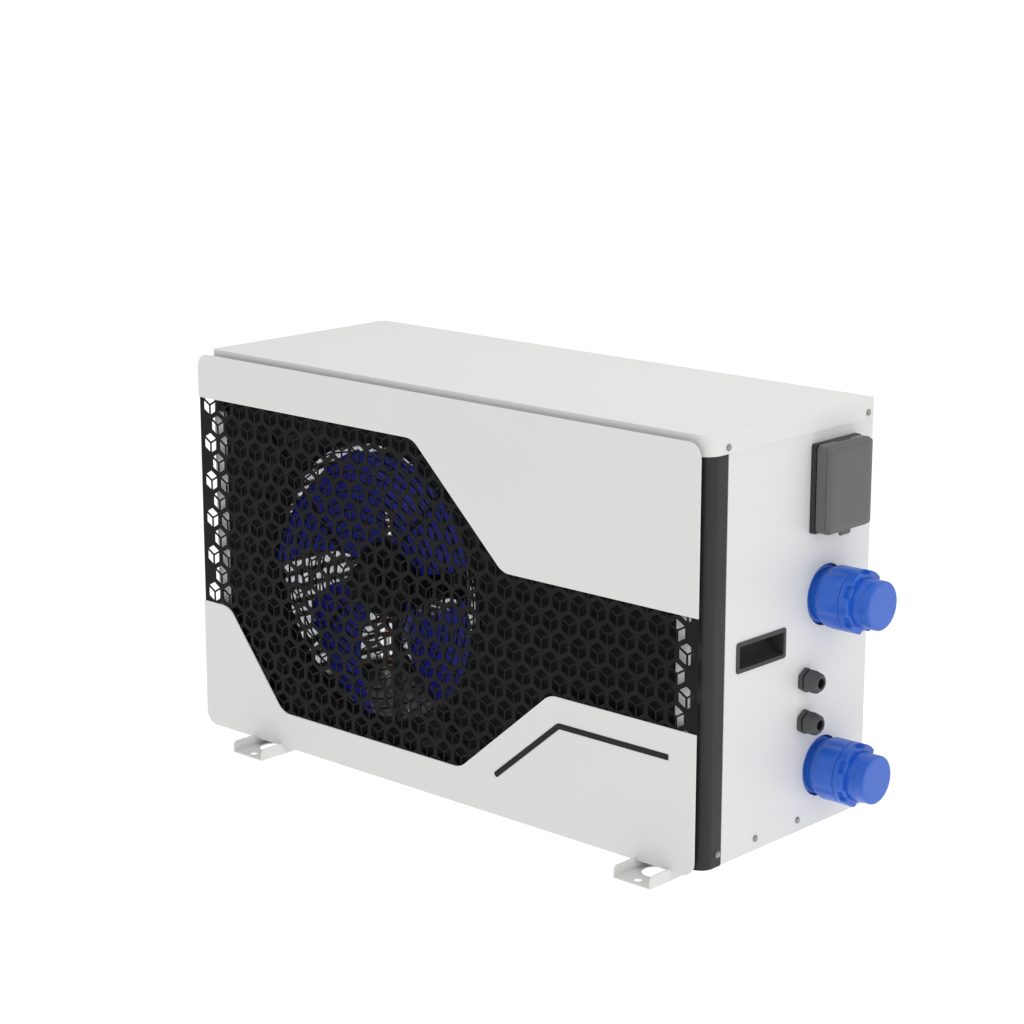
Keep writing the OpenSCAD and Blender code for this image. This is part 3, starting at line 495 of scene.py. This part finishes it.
def blade(turn_deg):
    """Radius r from hub to tip; angle from trailing to leading edge; depth = r * angle * tan(pitch) + camber."""
    s, c = np.meshgrid(np.linspace(0, 1, 26), np.linspace(-1, 1, 18), indexing="ij")
    r = hub_r - 3 + (tip_r - hub_r + 3) * s
    half = np.radians(25 + 14 * s - 4 * s**8)
    middle = np.radians(turn_deg + 20 * s**1.4)
    pitch = np.radians(26 - 12 * s)
    away = half * c
    depth = -r * away * np.tan(pitch) + 5 * s * (1 - c**2) - 14 * s
    depth = np.clip(depth, -43, 30)
    thick = 1.6 * (1 - 0.7 * np.abs(c) ** 4)
    angle = middle + away
    x, z = fan_x + r * np.cos(angle), fan_z + r * np.sin(angle)
    front = np.stack([x, fan_y + depth - thick, z], -1)
    back = np.stack([x, fan_y + depth + thick, z], -1)
    sheet = np.concatenate([front, back[:, ::-1]], axis=1)
    rows, around = sheet.shape[:2]
    ends_of_blade = [np.arange(around)[::-1], np.arange(around) + (rows - 1) * around]
    return sheet.reshape(-1, 3), [*grid_faces(rows, around, around=True), *ends_of_blade]


hub = turned([[-24, 9], [-24, 26], [-22, 30], [-18, 50], [-14, 56], [-8, hub_r], [30, hub_r], [30, hub_r - 3],
              [-6, hub_r - 4], [-12, 24], [24, 22], [24, 9]], (fan_x, fan_y, fan_z), 1, 72)
piece("fan_hub_moulding", *hub, "fan_impeller", material=black_abs)
piece("fan_blade_mouldings", *joined(*(blade(FIRST_BLADE + i * 360 / BLADES) for i in range(BLADES))), "fan_impeller")

# %% [markdown]
# ## Unions
# Each water union is a big plastic nut over a threaded tail, then the pipe socket with its cap. The nut's barrel
# has broad grips, so its radius follows a flattened cosine round the axis. The collar in front of it has six lugs.
# The profiles are drawn with small rounds, which is what makes injection-moulded plastic look soft.

# %% Union nuts and collars
side_x = 467.0


def soft_profile(corners, radii, steps=4):
    """A closed (along, radius) profile with rounded corners, as the outline function makes it."""
    return soften(corners, radii, steps)


def grips(count, deep, start, end):
    """Radius less a shallow hollow between count raised grips, only where along is between start and end."""
    def shape(along, radius, angle):
        between = 0.5 - 0.5 * np.tanh(6 * (np.cos(count * angle) + 0.72))
        inside = (along > start) & (along < end) & (radius > 43)
        return radius - deep * between * inside
    return shape


nut_corners = [[5, 38.7], [5, 39.4], [20, 45.4], [50.6, 45.4], [50.6, 36.2], [45, 36.2], [45, 38.7]]
nut_profile = soft_profile(nut_corners, [0.4, 0.8, 5, 1.4, 0.4, 0.4, 0.4])
for name in ("inlet", "outlet"):
    low, high = ends("union_nut_" + name)
    water = (side_x, (low[1] + high[1]) / 2, (low[2] + high[2]) / 2)
    barrel = turned(nut_profile, water, 0, 144, grips(8, 1.7, 14, 49.4))
    piece(f"union_nut_{name}_moulding", *barrel, "union_nut_" + name)
low, high = ends("union_collars")
centres_z = (low[2] + 45.3, high[2] - 45.3)
water_y = (low[1] + high[1]) / 2
tail = soft_profile([[-34, 27], [-34, 34], [-18, 34], [-14, 44.6], [-5, 44.6], [-2, 38], [6, 38], [6, 33.4],
                     [35.8, 33.4], [35.8, 27]], [0.3, 0.3, 2, 1, 1.4, 1, 0.4, 0.4, 0.4, 0.3])
piece("union_tail_mouldings", *joined(*(turned(tail, (side_x, water_y, z), 0, 96) for z in centres_z)), "union_tails")


def lugs(along, radius, angle):
    """Outer radius drops between six lugs on the far half of the collar."""
    between = 0.5 - 0.5 * np.tanh(9 * (np.cos(6 * angle) + 0.35))
    return radius - 5.5 * between * (along > 59) * (radius > 40)


collar = soft_profile([[51.3, 35.3], [51.3, 45.4], [68, 45.4], [68, 35.3]], [0.3, 1.2, 2.2, 0.3], 6)
extra = np.stack([np.linspace(54.5, 65.5, 12), np.full(12, 45.4)], 1)
inner_and_near = 2 * (6 + 1)  # the first two corners, each an arc of six steps
collar = np.concatenate([collar[:inner_and_near], extra, collar[inner_and_near:]])
piece("union_collar_lugs", *joined(*(turned(collar, (side_x, water_y, z), 0, 144, lugs) for z in centres_z)),
      "union_collars")

# %% [markdown]
# ## Sockets and caps
# The pipe socket is a plain tube, turned down at its end where the transport cap pushes on. The cap's outer face is
# almost flat with a soft edge. Both are turned profiles.

# %% Sockets and caps
low, high = ends("union_sockets")
socket = soft_profile([[38.2, 27], [38.2, 37.8], [44.5, 37.8], [44.5, 35.1], [81, 35.1], [81, 33.6], [93, 33.6],
                       [93, 31.6], [58, 31.6], [58, 27]], [0.3, 0.5, 0.4, 0.4, 0.8, 0.2, 0.3, 0.3, 0.3, 0.3])
piece("union_socket_tubes", *joined(*(turned(socket, (side_x, water_y, z), 0, 96) for z in centres_z)), "union_sockets")
cap_shape = [[93.45, 0], [93.45, 33.6], [81.4, 33.72], [81.35, 35.0], [83, 35.15], [93.0, 35.15], [94.6, 34.9],
             [95.6, 34.0], [95.95, 32.5], [96.0, 30.0], [95.8, 0]]
for name, z in zip(("inlet", "outlet"), centres_z):
    piece(f"cap_{name}_moulding", *turned(cap_shape, (side_x, water_y, z), 0, 96, closed=False), "cap_" + name)

# %% [markdown]
# ## Cable glands
# A gland is a hexagon flange against the panel, a thin waist, and a dome nut that is a hexagon where the spanner
# goes and a round nose at the end. The hexagon is a function of angle: the flat's distance over the cosine of the
# angle from its middle, cut off by a circle, which gives the chamfered corners of a real nut.

# %% Glands
def hexed(flat_mm, circle_mm):
    """Radius = the smaller of flat / cos(angle from the flat's middle) and the circle that chamfers the corners."""
    def shape(along, radius, angle):
        off = (angle + np.pi / 6) % (np.pi / 3) - np.pi / 6
        hexagon = np.minimum(flat_mm / np.cos(off), circle_mm)
        return np.where(radius > flat_mm - 1.2, np.minimum(hexagon, hexagon * radius / flat_mm), radius)
    return shape


low, high = ends("gland_bodies")
gland_y = (low[1] + high[1]) / 2
# Each nut's own box gives its axis: a hexagon is wider across its corners, so the bodies' box would miss it
gland_z = [sum(ends("gland_nut_" + name))[2] / 2 for name in ("power", "signal")]
print("gland axes at", np.round([gland_y, *gland_z], 2).tolist(), "mm")
flange = [[0, 9], [0, 15.4], [0.6, 16], [5.6, 16], [6.4, 15.2], [6.5, 12], [20, 12], [20, 10.4], [14, 10.4], [14, 9]]
inner = [[-12, 9], [-12, 12.2], [0, 12.2], [0, 9]]
outside = [turned(flange, (side_x, gland_y, z), 0, 72, hexed(16.0, 17.9)) for z in gland_z]
threads = [turned(inner, (side_x, gland_y, z), 0, 48) for z in gland_z]
piece("gland_body_mouldings", *joined(*outside, *threads), "gland_bodies")
nose = np.radians(np.linspace(0, 78, 9))
nut = np.concatenate([[[9.2, 12.1], [9.2, 14.6], [9.8, 15], [19.8, 15], [20.6, 14.7]],
                      np.stack([21.0 + 8.2 * np.sin(nose), 9.3 + 5.0 * np.cos(nose)], 1),
                      [[29.3, 8.8], [28.8, 7.6], [20.2, 7.6], [20.2, 12.1]]])
for name, z in zip(("power", "signal"), gland_z):
    piece(f"gland_nut_{name}_moulding", *turned(nut, (side_x, gland_y, z), 0, 72, hexed(15.0, 16.8)),
          "gland_nut_" + name)

# %% [markdown]
# ## Carrying pocket
# The handle is a dark moulded tray behind a slim frame. Its floor curves up into the back, so that fingers can hook
# under the top edge. The tray is a surface of two numbers: how far along the pocket, and how far round its section.

# %% Handle
low, high = ends("handle_recess")
frame_out = soften([[low[1], low[2]], [high[1], low[2]], [high[1], high[2]], [low[1], high[2]]], 4.0, 8)
frame_in = soften([[low[1] + 6, low[2] + 6], [high[1] - 6, low[2] + 6], [high[1] - 6, high[2] - 6],
                   [low[1] + 6, high[2] - 6]], 2.0, 8)
levels = [(side_x + 0.02, frame_out), (side_x + 1.4, frame_out),
          (side_x + 2.0, frame_out * 0.988 + frame_out.mean(0) * 0.012),
          (side_x + 2.0, frame_in * 1.012 - frame_in.mean(0) * 0.012),
          (side_x + 1.4, frame_in), (side_x - 1.6, frame_in),
          (side_x - 1.6, frame_in + np.sign(frame_in - frame_in.mean(0)) * 1.3)]
ring_points = np.stack([np.column_stack([np.full(len(o), x), o]) for x, o in levels])
frame_shape = (ring_points.reshape(-1, 3), grid_faces(len(levels), len(frame_out), around=True, closed=True))
t = np.radians(np.linspace(0, 90, 14))
inside_y, inside_z = (low[1] + 6.5, high[1] - 6.5), (low[2] + 6.5, high[2] - 6.5)
deep = 32.0
section = np.concatenate([[[side_x - 1.5, inside_z[0]]], np.stack([side_x - 32 + deep * (1 - np.sin(t)),
                          inside_z[0] + (inside_z[1] - inside_z[0]) * (1 - np.cos(t))], 1),
                          [[side_x - 32, inside_z[1]], [side_x - 1.5, inside_z[1]]]])
skin = np.concatenate([section, (section[::-1] - [side_x - 1.5, (inside_z[0] + inside_z[1]) / 2])
                       * [1.05, 1.08] + [side_x - 1.5, (inside_z[0] + inside_z[1]) / 2]])
tray = np.stack([np.column_stack([skin[:, 0], np.full(len(skin), yy), skin[:, 1]]) for yy in inside_y])
tray_shape = (tray.reshape(-1, 3), grid_faces(2, len(skin), around=True))
side_plates = [prism(section, yy, yy + out, (0, 2, 1)) for yy, out in zip(inside_y, (-1.4, 1.4))]
piece("handle_pocket", *joined(frame_shape, tray_shape, *side_plates), "handle_recess", material=tray_abs)

# %% [markdown]
# ## Controller cover
# The weather cover is a moulded lid with soft corners and a raised front lip. It is lofted through rounded
# rectangles: each level has a distance from the wall, a size and a corner radius, and the skin runs from the inner
# face out over the rim to the front. The hinge ears and the latch tab are small rounded blocks.

# %% Controller
def rounded_box(y0, y1, z0, z1, radius, steps=8):
    """Outline of a rounded rectangle in Y and Z."""
    return soften([[y0, z0], [y1, z0], [y1, z1], [y0, z1]], radius, steps)


def loft(levels):
    """Skin through outlines of equal length at the given X places, with both ends closed."""
    rings = np.stack([np.column_stack([np.full(len(o), x), o]) for x, o in levels])
    count = rings.shape[1]
    last = (len(levels) - 1) * count
    return rings.reshape(-1, 3), [*grid_faces(len(levels), count, around=True), np.arange(count)[::-1],
                                  np.arange(count) + last]


def block(a, b, radius, steps=4):
    """A block from corner a to corner b with rounded upright edges along X and slightly smaller ends."""
    r = min(radius, 0.3 * (b[0] - a[0]))
    full = rounded_box(a[1], b[1], a[2], b[2], radius, steps)
    mean = full.mean(0)
    less = mean + (full - mean) * (1 - 2 * r / np.array([b[1] - a[1], b[2] - a[2]]))
    return loft([(a[0], less), (a[0] + r, full), (b[0] - r, full), (b[0], less)])


low, high = ends("controller_base")
cover_low, cover_high = ends("controller_cover")
cy0, cy1, cz0, cz1 = cover_low[1], cover_high[1], low[2] + 1.0, high[2] - 0.4
x_back, x_face = cover_low[0], cover_high[0]


def cover_ring(inset, radius):
    """The cover's outline, moved inwards by inset."""
    return rounded_box(cy0 + inset, cy1 - inset, cz0 + inset, cz1 - inset, radius)


cover_levels = [
    (x_face - 2.4, cover_ring(2.6, 5)), (x_back + 0.2, cover_ring(2.4, 5.4)), (x_back, cover_ring(2.0, 5.8)),
    (x_back, cover_ring(0.6, 7.2)), (x_back + 0.6, cover_ring(0.1, 7.8)), (x_back + 15.5, cover_ring(0.0, 8)),
    (x_back + 16.2, cover_ring(1.1, 7)), (x_back + 17.4, cover_ring(1.1, 7)), (x_back + 18.2, cover_ring(0.1, 9)),
    (x_face - 5.4, cover_ring(0.5, 9)), (x_face - 3.4, cover_ring(2.2, 9)), (x_face - 1.5, cover_ring(5.4, 8.5)),
    (x_face - 0.4, cover_ring(8.6, 8)), (x_face, cover_ring(11.5, 7.5))]
hinge_x, hinge_z = 480.4, high[2] - 3
parts = [loft(cover_levels)]
parts.append(block([x_face - 14, (cy0 + cy1) / 2 - 12, cz0 - 7.5], [x_face - 8.5, (cy0 + cy1) / 2 + 12, cz0 + 2], 2.0))
for y in (low[1] + 22, high[1] - 36):
    parts.append(turned([[y, 2.1], [y, 3.3], [y + 14, 3.3], [y + 14, 2.1]], (hinge_x, 0, hinge_z), 1, 32))
piece("controller_cover_moulding", *joined(*parts), "controller_cover")

# %% [markdown]
# ## Coil
# The evaporator wraps round the back and the left side: upright aluminium fins with rows of copper tube through
# them. Light comes in between the fins from behind, so each fin is its own thin plate here. They stand nine
# millimetres apart, much wider than the real spacing, because closer ones would blur together. One function gives
# a place and a direction along the bent centre line, and both the fins and the tubes follow it.

# %% Evaporator fins
low, high = ends("evaporator_coil")
thick, bend = 38.0, 33.0
run_back, run_side = high[0] - low[0] - thick / 2 - bend, high[1] - low[1] - thick / 2 - bend
run_bend = np.pi / 2 * bend


def along_coil(s):
    """Place in X and Y, and unit normal, at distance s from the right end: straight, quarter circle, straight."""
    turn = np.clip((s - run_back) / bend, 0, np.pi / 2)
    back, down = np.clip(s, 0, run_back), np.clip(s - run_back - run_bend, 0, None)
    place = np.stack([high[0] - back - bend * np.sin(turn), high[1] - thick / 2 - bend * (1 - np.cos(turn)) - down], 1)
    return place, np.stack([-np.sin(turn), np.cos(turn)], 1)


s = np.arange(1.0, run_back + run_bend + run_side, 9.0)
place, normal = along_coil(s)
tangent = np.stack([-normal[:, 1], normal[:, 0]], 1)
corner = np.stack([place + side * normal * thick / 2 + edge * tangent * 0.15
                   for side, edge in ((-1, -1), (-1, 1), (1, 1), (1, -1))], 1)
fin_points = np.zeros((len(s), 2, 4, 3))
fin_points[..., :2] = corner[:, None]
fin_points[:, 0, :, 2], fin_points[:, 1, :, 2] = low[2], high[2]
fin_points = fin_points.reshape(len(s), 8, 3)
fin_faces = [*grid_faces(2, 4, around=True).tolist(), [3, 2, 1, 0], [4, 5, 6, 7]]
piece("evaporator_fins", fin_points, many(fin_points, fin_faces), "evaporator_coil", crease=20)

# %% [markdown]
# ## The tubes through the fins
# Level rows of copper tube cross every fin, one row each 24 millimetres. They follow the same bent centre line, so a
# row is a small circle carried through its places: few steps on the straight runs and more round the bend.

# %% Evaporator tube rows
s = np.concatenate([np.linspace(-6, run_back, 3), run_back + run_bend * np.linspace(0.1, 1, 10),
                    [run_back + run_bend + run_side]])
place, normal = along_coil(np.clip(s, 0, None))
place[0, 0] = high[0] + 8
t = np.linspace(0, 2 * np.pi, 10, endpoint=False)
tube_faces = [*grid_faces(len(s), 10, around=True).tolist(), list(range(10))[::-1],
              [10 * (len(s) - 1) + i for i in range(10)]]
rows = []
for level in np.arange(50, 615, 24.0):
    ring = np.concatenate([place[:, None] + normal[:, None] * 4.8 * np.cos(t)[None, :, None],
                           np.full((len(s), 10, 1), level) + 4.8 * np.sin(t)[None, :, None]], axis=2)
    rows.append((ring.reshape(-1, 3), tube_faces))
piece("evaporator_tube_rows", *joined(*rows), "evaporator_tubes")

# %% [markdown]
# ## Wire guards
# The back and the left side are open to the air behind welded wire. Each guard is a folded steel rim with round
# wires across it. A wire is a tube between two points, and all the wires of a guard are made as one array: a small
# circle placed at both ends of every wire.

# %% Guards
def wires(starts, ends_, radius, across, sides=8):
    """Tubes from starts to ends_: a circle in the plane of the two axes in across, at both ends of each wire."""
    t = np.linspace(0, 2 * np.pi, sides, endpoint=False)
    circle = np.zeros((sides, 3))
    circle[:, across[0]], circle[:, across[1]] = radius * np.cos(t), radius * np.sin(t)
    points = np.stack([starts, ends_], 1)[:, :, None] + circle
    n = len(starts)
    shift = (np.arange(n) * 2 * sides)[:, None, None]
    caps = np.stack([np.arange(sides)[::-1], np.arange(sides) + sides])
    return points.reshape(-1, 3), [*(grid_faces(2, sides, around=True)[None] + shift).reshape(-1, 4).tolist(),
                                   *(caps[None] + shift).reshape(-1, sides).tolist()]


def wire_guard(node, run, middle, inward, pitch_up=24.0, pitch_level=56.0):
    """Rim as a frame of flat bars, upright wires every pitch_up and level wires every pitch_level."""
    low, high = ends(node)
    rim = 15.0
    outer = soften([[low[run], low[2]], [high[run], low[2]], [high[run], high[2]], [low[run], high[2]]], 0.5, 3)
    inner_ = soften([[low[run] + rim, low[2] + rim], [high[run] - rim, low[2] + rim],
                     [high[run] - rim, high[2] - rim], [low[run] + rim, high[2] - rim]], 4, 3)
    rings = []
    for y, o in ((low[middle], outer), (high[middle], outer), (high[middle], inner_), (low[middle], inner_)):
        p = np.zeros((len(o), 3))
        p[:, run], p[:, 2], p[:, middle] = o[:, 0], o[:, 1], y
        rings.append(p)
    rim_shape = (np.concatenate(rings), grid_faces(4, len(outer), around=True, closed=True))
    at = np.linspace(low[run] + rim, high[run] - rim, int((high[run] - low[run] - 2 * rim) / pitch_up) + 1)[1:-1]
    up = np.linspace(low[2] + rim, high[2] - rim, int((high[2] - low[2] - 2 * rim) / pitch_level) + 1)[1:-1]
    y = (low[middle] + high[middle]) / 2
    a, b = np.zeros((len(at), 3)), np.zeros((len(at), 3))
    a[:, run], a[:, 2], a[:, middle] = at, low[2] + rim - 4, y
    b[:, run], b[:, 2], b[:, middle] = at, high[2] - rim + 4, y
    c, d = np.zeros((len(up), 3)), np.zeros((len(up), 3))
    c[:, run], c[:, 2], c[:, middle] = low[run] + rim - 4, up, y + inward * 2.0
    d[:, run], d[:, 2], d[:, middle] = high[run] - rim + 4, up, y + inward * 2.0
    shapes = [rim_shape, wires(a, b, 1.1, (0, 1)), wires(c, d, 1.3, (middle, 2))]
    piece(node + "_wires", *joined(*shapes), node)


wire_guard("rear_guard", 0, 1, -1)
wire_guard("left_guard", 1, 0, 1)

# %% [markdown]
# ## Inside and small parts
# The compressor, pipes and brackets are seen only through the openings, so their shapes stay as packed. Each gets a
# merged copy with eased edges, because a perfectly sharp one would catch the eye.

# %% Small parts
for node, radius in {"motor_bracket": 0.4, "electrical_box": 0.6, "terminal_block": 0.5, "display_panel": 0.8,
                     "button_power": 0.5, "button_mode": 0.5, "button_up": 0.5, "button_down": 0.5,
                     "panel_screws": 0.5, "lid_screws": 0.5, "compressor": 0.4, "accumulator": 0.4,
                     "heat_exchanger": 0.4, "refrigerant_pipes": 0.2, "four_way_valve": 0.3, "fan_motor": 0.4}.items():
    eased(node, radius)

# %% [markdown]
# ## Floor and light
# The heat pump stands on a plain pale floor in an even, bright studio. A white world lights it from all round, a
# large soft area lamp above gives the shapes their gentle shading, and a second one on the right lifts the side.
# The floor has a little light of its own so that it stays pale in every view.

# %% Studio
material, tree = new_material("matt_studio_floor")
matt = add_node(tree, "ShaderNodeBsdfDiffuse", {"Color": linear("#F4F4F4")})
glow = add_node(tree, "ShaderNodeEmission", {"Color": linear("#FFFFFF"), "Strength": 1.2})
mixed = add_node(tree, "ShaderNodeMixShader", {0: 0.8}, {1: (matt, "BSDF"), 2: (glow, "Emission")})
add_node(tree, "ShaderNodeOutputMaterial", None, {"Surface": (mixed, "Shader")})
floor_mesh = bpy.data.meshes.new("studio_floor")
half, level = 45, -0.0005
corners = [(-half, -half, level), (half, -half, level), (half, half, level), (-half, half, level)]
floor_mesh.from_pydata(corners, [], [(0, 1, 2, 3)])
floor_mesh.materials.append(material)
studio_floor = bpy.data.objects.new("studio_floor", floor_mesh)
bpy.context.collection.objects.link(studio_floor)

world = bpy.data.worlds.new("studio")
bpy.context.scene.world = world
world.use_nodes = True
world.node_tree.nodes["Background"].inputs["Color"].default_value = (1, 1, 1, 1)
world.node_tree.nodes["Background"].inputs["Strength"].default_value = 0.56


def softbox(name, place, aim, size, power):
    """A square area lamp at place, turned to face aim."""
    lamp = bpy.data.objects.new(name, bpy.data.lights.new(name, "AREA"))
    lamp.data.size = size
    lamp.data.energy = power
    lamp.location = place
    lamp.rotation_euler = (Vector(aim) - Vector(place)).to_track_quat("-Z", "Y").to_euler()
    bpy.context.collection.objects.link(lamp)
    return lamp


softbox("overhead_softbox", (0.3, 0.5, 3.4), (0, 0, 0.4), 3.0, 49)
softbox("side_softbox", (3.6, -1.2, 1.6), (0.4, 0, 0.35), 2.2, 17)
bpy.context.scene.view_settings.view_transform = "Standard"
